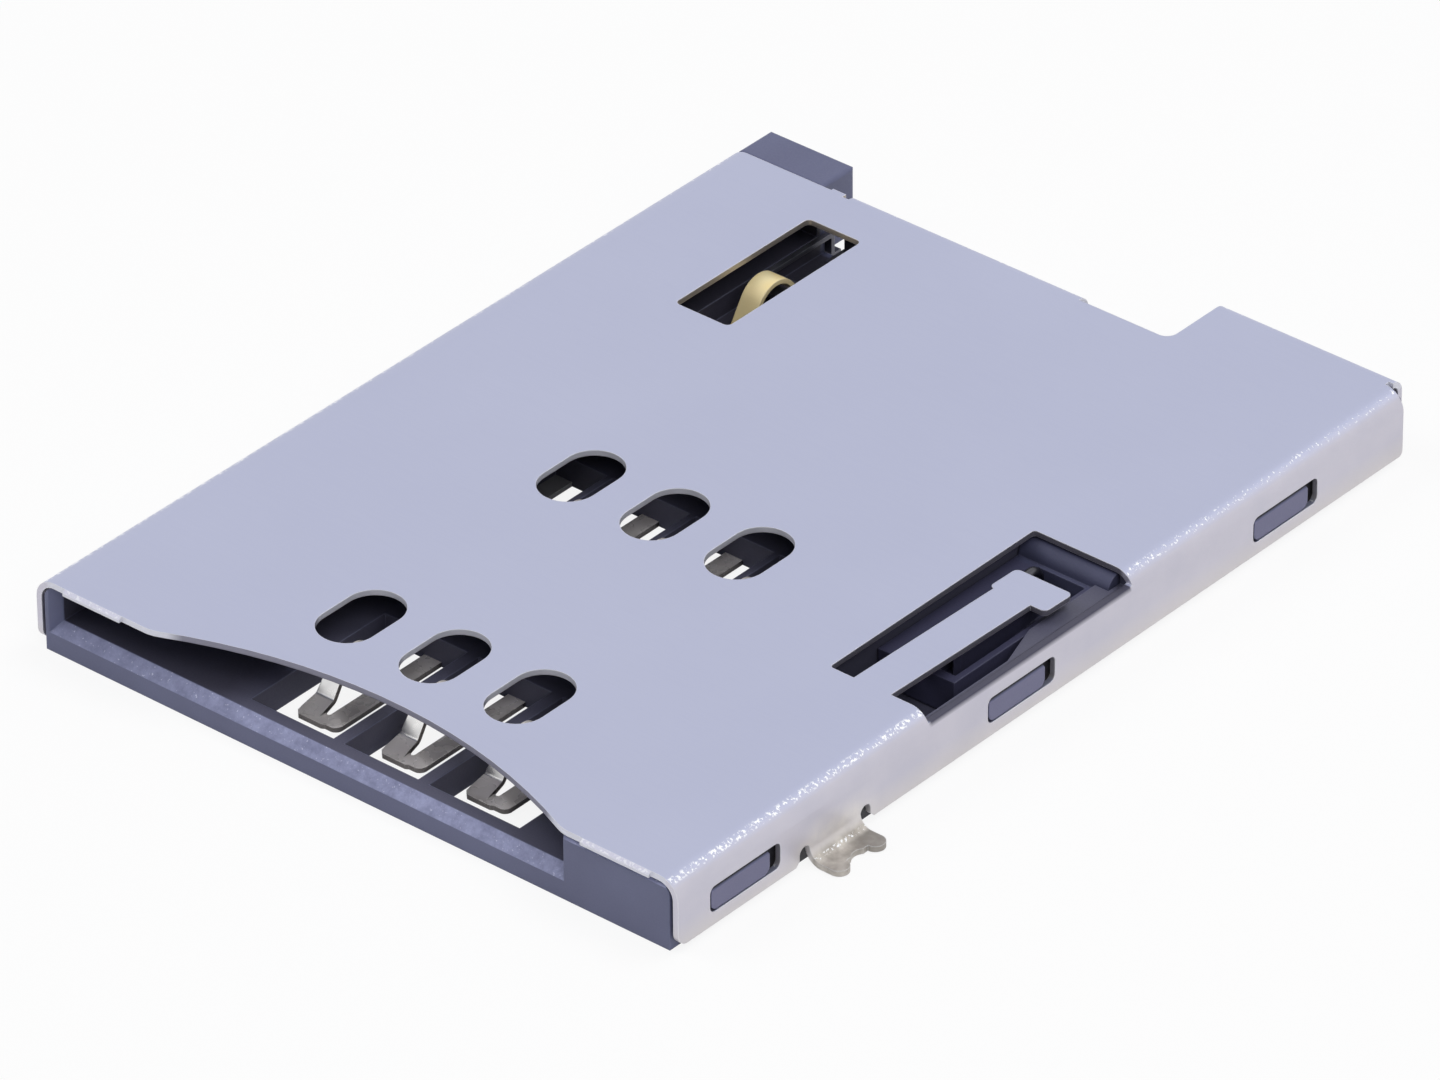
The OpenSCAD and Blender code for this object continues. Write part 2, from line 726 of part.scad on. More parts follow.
module cover_shell() color("#c3c6d8") {
    top_x1 = cover_x1 - bend_r;
    top_y1 = ext_flange_y - rear_bend_r + lap;
    difference() {
        along_y(cover_front, side_end) folded_section();
        cover_cuts();
        at_side_feet() foot_relief();
        flange_corner(side_end, -1, rear_corner_r);
    }
    for (s = stub_places) carrier_stub(s[0], s[1]);
    tongue();
    at_side_feet() solder_foot();
    difference() {
        union() {
            rear_flange(flange_x0, flange_x1, flange_y);
            rear_flange(step_x, top_x1 + rear_overhang, ext_flange_y);
            box([step_x, side_end - cut, cover_under], [top_x1, top_y1, cover_top]);
        }
        at_rear_feet() foot_relief();
    }
    at_rear_feet() solder_foot();
}

// Contacts

// Flat arm of a contact, on the board, from one place to the end of its anchor in the floor
module contact_arm(y0) {
    box([arm_x0, y0, 0], [arm_x1, window_rear + anchor_l, contact_t]);
}

// Side outline of the sprung beam: it starts at the lip, and its crest stands just ahead of Y = 0
module beam_outline() {
    path = [
        [lip_run, beam_ramp, ramp_r],
        [ramp_run, beam_rise - beam_ramp, rise_r],
        [rise_run, beam_shoulder - beam_rise, shoulder_r],
        [shoulder_run, -beam_shoulder - beam_tip, crest_r],
        [tip_run, 0, 0]];
    translate([lip_y, contact_t / 2]) polygon(strip_outline(path, contact_t));
}

// Plan of the beam: a lip with a cut corner, a taper on the left side, and a slimmer tip
module beam_plan() {
    past_tip = 1;
    polygon([
        [lip_x0 + lip_corner, lip_y], [beam_x1, lip_y], [beam_x1, past_tip], [slim_x0, past_tip],
        [slim_x0, slim_y1], [beam_x0, slim_y0], [beam_x0, lip_y + lip_taper],
        [lip_x0, lip_y + lip_side], [lip_x0, lip_y + lip_corner]]);
}

// Plan of the cross-piece that joins beam and arm round the tip of the slot between them
module cross_plan() {
    front_y = lip_y + shoulder_back;
    rear_y = lip_y + cross_l + strip_slot / 2;
    round_x = arm_x1 - cross_r;
    difference() {
        union() {
            polygon([
                [beam_x1 - cut, lip_y], [shoulder_x0, lip_y], [shoulder_x1, front_y],
                [round_x, front_y], [round_x, rear_y], [beam_x1 - cut, rear_y]]);
            translate([round_x, front_y + cross_r]) {
                circle(cross_r);
                square([cross_r, rear_y - front_y - cross_r + cut]);
            }
        }
        translate([beam_x1 + strip_slot / 2, rear_y]) circle(strip_slot / 2);
    }
}

// One contact: a flat arm, a cross-piece with a lip, and a beam that rises to the card
module contact(col, row) color("#9a948c") translate([col, row, 0]) {
    contact_arm(lip_y + cross_l + strip_slot / 2);
    linear_extrude(contact_t) cross_plan();
    intersection() {
        along_x(lip_x0, beam_x1) beam_outline();
        translate([0, 0, -cut]) linear_extrude(cover_top) beam_plan();
    }
}

module contact_c1() contact(cols[2], rows[0]);
module contact_c2() contact(cols[1], rows[0]);
module contact_c3() contact(cols[0], rows[0]);
module contact_c5() contact(cols[2], rows[1]);
module contact_c6() contact(cols[1], rows[1]);
module contact_c7() contact(cols[0], rows[1]);

// Detect switch

// Part of the blade that lies in the floor, from its tail in the window to the recess
module blade_tail() {
    seat_top = blade_seat + blade_t;
    tail_x0 = tail_x - blade_w / 2;
    tail_x1 = tail_x + blade_w / 2;
    jog_x0 = blade_x - blade_w / 2;
    jog_y1 = jog_y0 + jog_l;
    box([tail_x0, tail_y0, 0], [tail_x1, tail_step_y + blade_t, blade_t]);
    box([tail_x0, tail_step_y, 0], [tail_x1, tail_step_y + blade_t, seat_top]);
    box([tail_x0, tail_step_y, blade_seat], [tail_x1, jog_y1, seat_top]);
    box([jog_x0, jog_y0, blade_seat], [tail_x1, jog_y1, seat_top]);
    box([jog_x0, jog_y0, blade_seat], [jog_x0 + blade_w, recess_y0 + cut, seat_top]);
}

// Sprung blade: its crest stands in the card's way
module switch_blade() color("#d9b565") {
    rises = bend_up(0, blade_rise, blade_foot_r) + bend_up(blade_rise, 0, blade_crest_r);
    rise_run = (blade_h - blade_t - blade_seat - rises) / sin(blade_rise);
    goes = bend_along(0, blade_rise, blade_foot_r) + rise_run * cos(blade_rise)
        + bend_along(blade_rise, 0, blade_crest_r);
    path = [
        [blade_y - goes - recess_y0, blade_rise, blade_foot_r],
        [rise_run, -blade_rise - blade_fall, blade_crest_r],
        [blade_tip_run, 0, 0]];
    blade_tail();
    along_x(blade_x - blade_w / 2, blade_x + blade_w / 2)
        translate([recess_y0, blade_seat + blade_t / 2]) polygon(strip_outline(path, blade_t));
}

// Part of the fixed contact that lies in the housing
module fixed_root() {
    box([fixed_x0, fixed_y0, fixed_z], [fixed_x1, housing_y1, fixed_z + fixed_t]);
}

// Fixed contact: a pad under the blade's tip, and a foot outside the rear wall
module switch_contact() color("#b9b2a4") {
    path = [
        [2 * cut, -90, fixed_bend_r],
        [fixed_z - 2 * fixed_bend_r, 90, fixed_bend_r],
        [fixed_foot_l, 0, 0]];
    fixed_root();
    box([fixed_x0, fixed_y0, fixed_z],
        [blade_x + blade_w / 2, fixed_y0 + fixed_pad_l, fixed_z + fixed_t]);
    along_x(fixed_x1 - fixed_leg_w, fixed_x1)
        translate([housing_y1 - cut, fixed_z + fixed_t / 2]) polygon(strip_outline(path, fixed_t));
}

// Mechanism

// Plan of the heart-shaped island, with the notch that catches the follower
module cam_island() {
    half = lane_offset - lane_w / 2;
    lock_at = follower_y - eject_stroke;
    notch_r = pin_d / 2 + 0.025;
    horn_y = lock_at - 0.25;
    horn_cut = 0.08;
    tip_y = follower_y - pin_d / 2 - 0.1;
    tip_half = 0.06;
    tip_l = 0.7;
    difference() {
        polygon([
            [cam_x - half + horn_cut, horn_y], [cam_x + half - horn_cut, horn_y],
            [cam_x + half, horn_y + 2 * horn_cut], [cam_x + half, tip_y - tip_l],
            [cam_x + tip_half, tip_y], [cam_x - tip_half, tip_y],
            [cam_x - half, tip_y - tip_l], [cam_x - half, horn_y + 2 * horn_cut]]);
        translate([cam_x, lock_at]) circle(notch_r);
        translate([cam_x - notch_r, horn_y - 1]) square([2 * notch_r, lock_at - horn_y + 1]);
    }
}

// Plan of the closed track round the island; a tooth in front of the notch steers the follower
module cam_track() {
    tooth_x = cam_x - 0.05;
    tooth_half = 0.2;
    tooth_l = 0.12;
    difference() {
        polygon([
            [groove_x0, groove_y0], [tooth_x - tooth_half, groove_y0], [tooth_x, groove_y0 + tooth_l],
            [tooth_x + tooth_half, groove_y0], [groove_x1, groove_y0], [groove_x1, groove_y1],
            [groove_x0, groove_y1]]);
        cam_island();
    }
}

// Ramps in the track's floor: the way in rises, the way out rises again, so the pin can't turn back
module track_ramps() {
    low = groove_floor - cut;
    high = follower_foot - 0.04;
    in_end = groove_y0 + 1.1;
    out_end = groove_y1 - 0.8;
    along_x(groove_x0 - cut, groove_x0 + lane_w)
        polygon([[groove_y1 - 0.5, low], [in_end, high], [in_end, low]]);
    along_x(groove_x1 - lane_w, groove_x1 + cut)
        polygon([[in_end - 0.2, low], [out_end, high], [out_end, low]]);
}

// Side outline of the slider's raised block, rounded where it meets the window
module block_outline() {
    round_y = step_y + slider_step_r;
    round_z = slider_z1 - slider_step_r;
    translate([step_y, slider_z0]) square([shoulder_y - step_y, round_z - slider_z0]);
    translate([round_y, slider_z0]) square([shoulder_y - round_y, slider_z1 - slider_z0]);
    translate([round_y, round_z]) circle(slider_step_r);
}

// Plan of the foot that the card's cut corner pushes
module foot_plan() {
    back_y = foot_y + foot_t;
    arm_x = slider_arm_x1 - cut;
    polygon([
        [foot_x0 + foot_chamfer, foot_y], [arm_x, foot_y], [arm_x, back_y],
        [foot_x0 + foot_cut, back_y], [foot_x0, back_y - foot_cut], [foot_x0, foot_y + foot_chamfer]]);
}

// Slider at rest, forward: cam plate, raised block with the spring's post, arm and foot
module cam_slider() color("#474a60") {
    difference() {
        union() {
            box([slider_x0, plate_y0, slider_z0], [plate_x1, step_y + cut, pin_under]);
            along_x(slider_x0, slider_x1) block_outline();
            box([slider_x0, shoulder_y - cut, slider_z0], [slider_arm_x1, foot_y + foot_t, slider_z1]);
            translate([0, 0, foot_z0]) linear_extrude(slider_z1 - foot_z0) foot_plan();
        }
        translate([0, 0, groove_floor]) linear_extrude(cover_top) cam_track();
    }
    intersection() {
        track_ramps();
        translate([0, 0, groove_floor - cut]) linear_extrude(cover_top) cam_track();
    }
    spring_post(shoulder_y - cut);
}

// Cam pin: a wire with one leg in the housing and one in the slider's track
module cam_pin() color("#b5b8bd") translate([cam_x, pivot_y, 0]) rotate(pin_angle) {
    bend_z = pin_z - pin_bend_r;
    $fn = 24;
    translate([0, 0, pin_leg_foot]) cylinder(h = bend_z - pin_leg_foot, d = pin_d);
    translate([0, pin_bend_r, bend_z]) rotate([90, 0, 90]) rotate(90)
        rotate_extrude(angle = 90) translate([pin_bend_r, 0]) circle(d = pin_d);
    translate([0, pin_bend_r, pin_z]) rotate([-90, 0, 0]) cylinder(h = pin_len - 2 * pin_bend_r, d = pin_d);
    translate([0, pin_len - pin_bend_r, bend_z]) rotate([90, 0, 90])
        rotate_extrude(angle = 90) translate([pin_bend_r, 0]) circle(d = pin_d);
    translate([0, pin_len, follower_foot]) cylinder(h = bend_z - follower_foot, d = pin_d);
}

// Height of the coil's middle line along its axis, after so many turns
function coil_at(turn, length) =
    let (open = (length - 2 * closed_turns * spring_wire) / (spring_turns - 2 * closed_turns))
    turn < closed_turns ? turn * spring_wire :
    turn > spring_turns - closed_turns ? length - (spring_turns - turn) * spring_wire :
    closed_turns * spring_wire + (turn - closed_turns) * open;

// Ring of points round the wire, after so many turns
function wire_ring(turn, length) =
    let (a = 360 * turn, coil_r = (spring_d - spring_wire) / 2, y = coil_at(turn, length))
    [for (k = [0:spring_sides - 1])
        let (b = 360 * k / spring_sides, r = coil_r + spring_wire / 2 * cos(b))
        [r * cos(a), y + spring_wire / 2 * sin(b), r * sin(a)]];

// Return spring: a coil with closed ends, swept along its own helix
module return_spring() color("#a9adb3") {
    end_clear = 0.005;
    length = spring_y1 - spring_y0 - spring_wire - 2 * end_clear;
    count = spring_turns * spring_steps;
    points = [for (i = [0:count]) each wire_ring(i / spring_steps, length)];
    sides = [for (i = [0:count - 1], k = [0:spring_sides - 1])
        let (n = (k + 1) % spring_sides, o = i * spring_sides)
        [o + k, o + n, o + spring_sides + n, o + spring_sides + k]];
    first_cap = [for (k = [spring_sides - 1:-1:0]) k];
    last_cap = [for (k = [0:spring_sides - 1]) count * spring_sides + k];
    translate([spring_x, spring_y0 + spring_wire / 2 + end_clear, spring_z])
        polyhedron(points, concat(sides, [first_cap, last_cap]));
}

housing();
cover_shell();
contact_c1();
contact_c2();
contact_c3();
contact_c5();
contact_c6();
contact_c7();
switch_blade();
switch_contact();
cam_slider();
cam_pin();
return_spring();
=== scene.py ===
"""Card socket: finish of every surface, a coil for the CAD's rigid return spring, light, floor and camera.

Lengths are written in millimetres, in the part's frame: the card goes in along Y, Z is up from the board.
"""

import math

import bpy
from mathutils import Matrix, Vector


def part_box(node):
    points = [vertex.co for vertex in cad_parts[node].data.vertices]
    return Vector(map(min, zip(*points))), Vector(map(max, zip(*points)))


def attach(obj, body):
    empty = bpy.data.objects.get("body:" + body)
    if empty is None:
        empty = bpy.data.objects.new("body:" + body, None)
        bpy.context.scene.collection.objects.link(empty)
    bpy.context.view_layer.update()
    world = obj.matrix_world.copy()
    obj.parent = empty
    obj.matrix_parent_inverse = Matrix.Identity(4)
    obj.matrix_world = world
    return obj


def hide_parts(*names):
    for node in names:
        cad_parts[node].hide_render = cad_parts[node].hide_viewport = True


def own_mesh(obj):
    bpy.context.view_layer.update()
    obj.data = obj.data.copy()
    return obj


MM = 0.001

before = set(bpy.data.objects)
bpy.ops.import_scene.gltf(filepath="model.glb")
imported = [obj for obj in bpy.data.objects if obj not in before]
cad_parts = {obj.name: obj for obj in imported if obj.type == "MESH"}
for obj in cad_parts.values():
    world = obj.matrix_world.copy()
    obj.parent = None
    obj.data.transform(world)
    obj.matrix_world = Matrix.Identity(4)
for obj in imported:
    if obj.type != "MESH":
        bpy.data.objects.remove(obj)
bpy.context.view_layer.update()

# Camera, as the photograph was taken: direction to the camera, aim point, distance and lens
CAMERA_AZIMUTH = 40.564
CAMERA_ELEVATION = 33.197
CAMERA_ROLL = -0.456
CAMERA_DISTANCE = 274.86
CAMERA_AIM = (0.430, 12.241, 0.9)
CAMERA_LENS = 298.57
CAMERA_SENSOR = 36.0
CAMERA_NEAREST = 1
CAMERA_FARTHEST = 10000

# Light that the surroundings give to surfaces, where 1 is white
WORLD_LIGHT = 0.18

# Lamps: name, azimuth, elevation, diameter, power in watts, and whether metal mirrors it
LAMPS = (
    ("rim", 150, 42, 200, 0.05, True),
    ("top", 150, 66, 240, 0.55, False),
    ("right", 62, 46, 260, 0.5, False),
    ("left", -62, 46, 260, 0.5, False),
)
LAMP_DISTANCE = 400
LAMP_AIM = (0, 13, 0)

# Floor: a square with half this side, just under the board's plane, and how much of it glows where it is seen
FLOOR_HALF_SIDE = 2000
FLOOR_LEVEL = -0.02
FLOOR_GLOW = 0.88

# Range that most of a noise lies in
NOISE_RANGE = (0.3, 0.7)


def direction(azimuth, elevation):
    """Unit vector towards a place seen at that azimuth and elevation, in degrees."""
    a = math.radians(azimuth)
    e = math.radians(elevation)
    return Vector((math.sin(a) * math.cos(e), -math.cos(a) * math.cos(e), math.sin(e)))


def aim(thing, target, roll=0.0):
    """Turns a camera or lamp to look at a point, then rolls it."""
    look = (target - thing.location).normalized()
    turn = look.to_track_quat("-Z", "Y").to_matrix()
    thing.rotation_euler = (turn @ Matrix.Rotation(math.radians(roll), 3, "Z")).to_euler()


def add_camera():
    data = bpy.data.cameras.new("camera")
    data.lens = CAMERA_LENS
    data.sensor_width = CAMERA_SENSOR
    data.clip_start = CAMERA_NEAREST * MM
    data.clip_end = CAMERA_FARTHEST * MM
    camera = bpy.data.objects.new("camera", data)
    bpy.context.scene.collection.objects.link(camera)
    target = Vector(CAMERA_AIM) * MM
    camera.location = target + direction(CAMERA_AZIMUTH, CAMERA_ELEVATION) * CAMERA_DISTANCE * MM
    aim(camera, target, CAMERA_ROLL)
    bpy.context.scene.camera = camera


# Node helpers

class Surface:
    """A material with one Principled shader, and short calls that add and join nodes."""

    def __init__(self, name):
        self.material = bpy.data.materials.new(name)
        self.material.use_nodes = True
        self.nodes = self.material.node_tree.nodes
        self.links = self.material.node_tree.links
        self.shader = self.nodes["Principled BSDF"]
        self.place = self.nodes.new("ShaderNodeTexCoord").outputs["Object"]

    def put(self, socket, value):
        """Joins an output to a socket, or sets the socket's own value."""
        if isinstance(value, bpy.types.NodeSocket):
            self.links.new(value, socket)
        else:
            socket.default_value = value

    def set(self, **values):
        """Sets the shader's sockets; Base_Color stands for Base Color."""
        for name, value in values.items():
            self.put(self.shader.inputs[name.replace("_", " ")], value)

    def stretched(self, factors):
        """Object coordinates, stretched along the axes."""
        node = self.nodes.new("ShaderNodeMapping")
        node.inputs["Scale"].default_value = factors
        self.links.new(self.place, node.inputs["Vector"])
        return node.outputs["Vector"]

    def noise(self, size_mm, detail=2.0, roughness=0.5, vector=None):
        """Noise from 0 to 1 with grains of about the given size."""
        node = self.nodes.new("ShaderNodeTexNoise")
        node.inputs["Scale"].default_value = 1 / (size_mm * MM)
        node.inputs["Detail"].default_value = detail
        node.inputs["Roughness"].default_value = roughness
        self.put(node.inputs["Vector"], vector or self.place)
        return node.outputs["Fac"]

    def math(self, operation, a, b=0.0):
        node = self.nodes.new("ShaderNodeMath")
        node.operation = operation
        self.put(node.inputs[0], a)
        self.put(node.inputs[1], b)
        return node.outputs["Value"]

    def times(self, first, *others):
        """Product of masks and numbers."""
        for other in others:
            first = self.math("MULTIPLY", first, other)
        return first

    def most(self, first, *others):
        """Largest of some masks."""
        for other in others:
            first = self.math("MAXIMUM", first, other)
        return first

    def absolute(self, value):
        return self.math("ABSOLUTE", value)

    def flip(self, mask):
        """1 where the mask is 0, and 0 where it is 1."""
        return self.math("SUBTRACT", 1.0, mask)

    def ramp(self, value, low, high, out_low=0.0, out_high=1.0):
        """Maps low..high to out_low..out_high, held at both ends."""
        node = self.nodes.new("ShaderNodeMapRange")
        numbers = {"From Min": low, "From Max": high, "To Min": out_low, "To Max": out_high}
        for name, number in numbers.items():
            node.inputs[name].default_value = number
        self.put(node.inputs["Value"], value)
        return node.outputs["Result"]

    def spread(self, noise, out_low=0.0, out_high=1.0):
        """Stretches the middle range of a noise to out_low..out_high."""
        return self.ramp(noise, *NOISE_RANGE, out_low, out_high)

    def past(self, value, start_mm, end_mm):
        """0 before start, 1 past end, for a place in millimetres."""
        return self.ramp(value, start_mm * MM, end_mm * MM)

    def blend(self, factor, a, b):
        """Colour between a and b; the node holds the factor between 0 and 1."""
        node = self.nodes.new("ShaderNodeMix")
        node.data_type = "RGBA"
        self.put(node.inputs["Factor"], factor)
        self.put(node.inputs["A"], a)
        self.put(node.inputs["B"], b)
        return node.outputs["Result"]

    def soft_edges(self, radius_mm):
        """Normal that rounds every sharp edge over the given radius."""
        node = self.nodes.new("ShaderNodeBevel")
        node.samples = 4
        node.inputs["Radius"].default_value = radius_mm * MM
        return node.outputs["Normal"]

    def bump(self, height, depth_mm, normal, strength):
        node = self.nodes.new("ShaderNodeBump")
        node.inputs["Strength"].default_value = strength
        node.inputs["Distance"].default_value = depth_mm * MM
        self.put(node.inputs["Height"], height)
        self.put(node.inputs["Normal"], normal)
        return node.outputs["Normal"]

    def split(self, vector):
        """The three parts of a vector."""
        node = self.nodes.new("ShaderNodeSeparateXYZ")
        self.links.new(vector, node.inputs["Vector"])
        return node.outputs["X"], node.outputs["Y"], node.outputs["Z"]

    def facing(self):
        """How far the surface faces along X, Y and Z, each from -1 to 1."""
        geometry = self.nodes.new("ShaderNodeNewGeometry")
        return self.split(geometry.outputs["Normal"])

    def on_edge(self, rounded, full=0.85):
        """Share by which a place lies on a sharp edge: the rounded normal leaves the flat one."""
        geometry = self.nodes.new("ShaderNodeNewGeometry")
        dot = self.nodes.new("ShaderNodeVectorMath")
        dot.operation = "DOT_PRODUCT"
        self.links.new(geometry.outputs["Normal"], dot.inputs[0])
        self.links.new(rounded, dot.inputs[1])
        return self.ramp(dot.outputs["Value"], 1.0, full)


def colour(r, g, b):
    """Shader colour from a colour as it is seen, 0 to 255."""
    def linear(c):
        c = c / 255
        return c / 12.92 if c <= 0.04045 else ((c + 0.055) / 1.055) ** 2.4
    return (linear(r), linear(g), linear(b), 1.0)


# Places on the cover: each pair is where a mask starts and where it is full

SIDE_FEET_X = (9.62, 9.72)
REAR_RIGHT_FOOT_Y = (26.55, 26.65)
REAR_LEFT_FOOT_X = (3.92, 3.9)
REAR_LEFT_FOOT_Y = (24.74, 24.84)
SIDE_FOOT_Y = 5.38
ROUND_SIDE_FOOT_Y = (1.6, 0.7)
ROUND_SIDE_FOOT_Z = (1.2, 0.6)
FOOT_LOBE_X = (9.8, 9.9)
FOOT_LOBE_Y = (5.4, 5.8)
FLANGE_LOW_Z = (0.8, 0.1)
WINDOW_X = (3.7, 3.8)
WINDOW_FRONT_Y = (8.7, 8.8)
WINDOW_REAR_Y = (16.3, 16.2)
TOP_CUTS_X = (9.3, 9.2)
TOP_CUTS_Z = (1.6, 1.65)
SLOT_X = (-3.0, -3.1)
SLOT_Y = (17.6, 17.7)
ARCH_FRONT_Y = (0.15, 0.3)
ARCH_REAR_Y = (2.9, 2.6)
LIP_REAR_Y = (15.95, 15.9)
LIP_X = (9.3, 9.34)
LIP_Z = (1.47, 1.58)
STUB_X = (9.2, 9.1)
STUB_Y = (0.2, 0.1)
SPARKLE_FADES_Y = (10, 24)

# Places on the moulded pieces

SILL_Y = (0.35, 0.3)
INSIDE_FRONT_Y = (0.28, 0.34)
INSIDE_TOP_Z = (1.73, 1.7)
INSIDE_X = (9.3, 9.25)
FLANGE_GAP_INNER_X = (9.3, 9.35)
FLANGE_GAP_OUTER_X = (9.57, 9.55)
LATCH_LUG_X = (9.57, 9.59)
LEFT_WALL_X = (-4.4, -3.6)
# Where the painted light on the sill's chamfer grows, from left to right
SILL_LIGHT_GROWS_X = (-8, 3)


# Materials

def cover_sheet():
    """Nickel-plated sheet: satin top, tinned feet, and painted glints where the sides are bent; its flanges, cut
    edges and the sheet by the side foot carry painted light and shade.
    """
    s = Surface("cover_sheet")
    x, y, z = s.split(s.place)
    face_z = s.facing()[2]
    rounded = s.soft_edges(0.04)
    across = s.absolute(x)
    upward = s.absolute(face_z)

    # Top and flanges: the flanges get a lighter colour than the top as painted light, and turn lighter and warmer
    # towards their lower edge
    top = s.blend(s.noise(5.0), colour(181, 185, 210), colour(186, 190, 214))
    side = s.blend(s.spread(s.noise(1.4, detail=3.0)), colour(199, 197, 210), colour(207, 204, 215))
    side = s.blend(s.times(s.past(z, *FLANGE_LOW_Z), 0.6), side, colour(218, 212, 206))
    plain = s.blend(s.ramp(upward, 0.89, 0.6), top, side)

    # Tinned feet, and painted warm light on the sheet round the side foot, which lifts its shade and stands for
    # the foot's reflection
    behind_left = s.times(s.past(y, *REAR_LEFT_FOOT_Y), s.past(x, *REAR_LEFT_FOOT_X))
    outside = s.most(s.past(across, *SIDE_FEET_X), s.past(y, *REAR_RIGHT_FOOT_Y), behind_left)
    from_foot = s.absolute(s.math("SUBTRACT", y, SIDE_FOOT_Y * MM))
    near_foot = s.times(s.past(from_foot, *ROUND_SIDE_FOOT_Y), s.past(z, *ROUND_SIDE_FOOT_Z))
    painted_light_near_foot = s.times(near_foot, s.ramp(s.noise(0.5, detail=3.0), 0.3, 0.75, 0.4, 0.85))
    tin = s.blend(s.spread(s.noise(0.35, detail=3.0)), colour(162, 155, 147), colour(216, 210, 202))
    # The outer part of the side foot's rear lobe is painted darker, a painted shade
    lobe = s.times(s.past(x, *FOOT_LOBE_X), s.past(y, *FOOT_LOBE_Y))
    tin = s.blend(s.times(lobe, 0.6), tin, colour(120, 115, 109))
    body = s.blend(outside, s.blend(painted_light_near_foot, plain, colour(243, 238, 234)), tin)

    # Cut edges of the holes, the slot, the window and the front arch: those of the window and the arch painted
    # darker as shade, and that of the slot painted tan as the gold blade's reflection
    window_front = s.past(y, *WINDOW_FRONT_Y)
    window = s.times(s.past(x, *WINDOW_X), window_front, s.past(y, *WINDOW_REAR_Y))
    cut = s.times(s.ramp(upward, 0.5, 0.3), s.past(z, *TOP_CUTS_Z), s.past(across, *TOP_CUTS_X))
    slot = s.times(s.past(y, *SLOT_Y), s.past(x, *SLOT_X))
    cut_edges_and_shade = s.blend(slot, colour(220, 221, 232), colour(196, 188, 182))
    cut_edges_and_shade = s.blend(window, cut_edges_and_shade, colour(112, 110, 122))
    arch = s.times(s.past(y, *ARCH_FRONT_Y), s.past(y, *ARCH_REAR_Y))
    cut_edges_and_shade = s.blend(arch, cut_edges_and_shade, colour(138, 137, 153))
    body = s.blend(cut, body, cut_edges_and_shade)

    # Painted shade on a strip of the bend along the window's outer edge
    painted_shade_lip = s.times(window_front, s.past(y, *LIP_REAR_Y), s.past(x, *LIP_X), s.past(z, *LIP_Z))
    body = s.blend(painted_shade_lip, body, colour(78, 77, 94))
    cut = s.times(cut, s.flip(slot))
    # Edges get a painted highlight, except along the shaded lip and the arch's cut edge
    edge = s.times(s.on_edge(rounded), s.flip(s.most(painted_shade_lip, s.times(arch, cut))))

    # Painted highlights: glints on the bends, fewer towards the rear, and the carrier's stubs painted bright
    bend = s.times(s.ramp(face_z, 0.72, 0.79), s.ramp(face_z, 0.94, 0.89))
    fade_start, fade_end = SPARKLE_FADES_Y
    fade = s.ramp(y, fade_start * MM, fade_end * MM, 0.0, -0.07)
    reach = s.math("ADD", s.noise(0.09, detail=2.0, roughness=0.7), fade)
    bend_glints = s.times(bend, s.ramp(reach, 0.53, 0.58), s.flip(painted_shade_lip))
    stub = s.times(s.past(y, *STUB_Y), s.past(across, *STUB_X))
    body = s.blend(s.times(stub, bend, 0.7), body, colour(238, 236, 250))
    shown = s.blend(s.most(s.times(edge, 0.55), bend_glints), body, colour(250, 251, 255))

    grain = s.noise(0.05, detail=3.0, roughness=0.6)
    rolling = s.noise(0.05, detail=2.0, vector=s.stretched((0.04, 1.0, 1.0)))
    relief = s.math("ADD", s.times(grain, 0.12), s.times(bend_glints, 0.6))
    diffuse = s.most(s.times(outside, 0.4), cut, near_foot)
    s.set(Base_Color=shown,
          Metallic=s.ramp(diffuse, 0.0, 1.0, 0.75, 0.35),
          Roughness=s.spread(rolling, 0.38, 0.44),
          Normal=s.bump(relief, 0.012, rounded, 0.5))
    return s.material


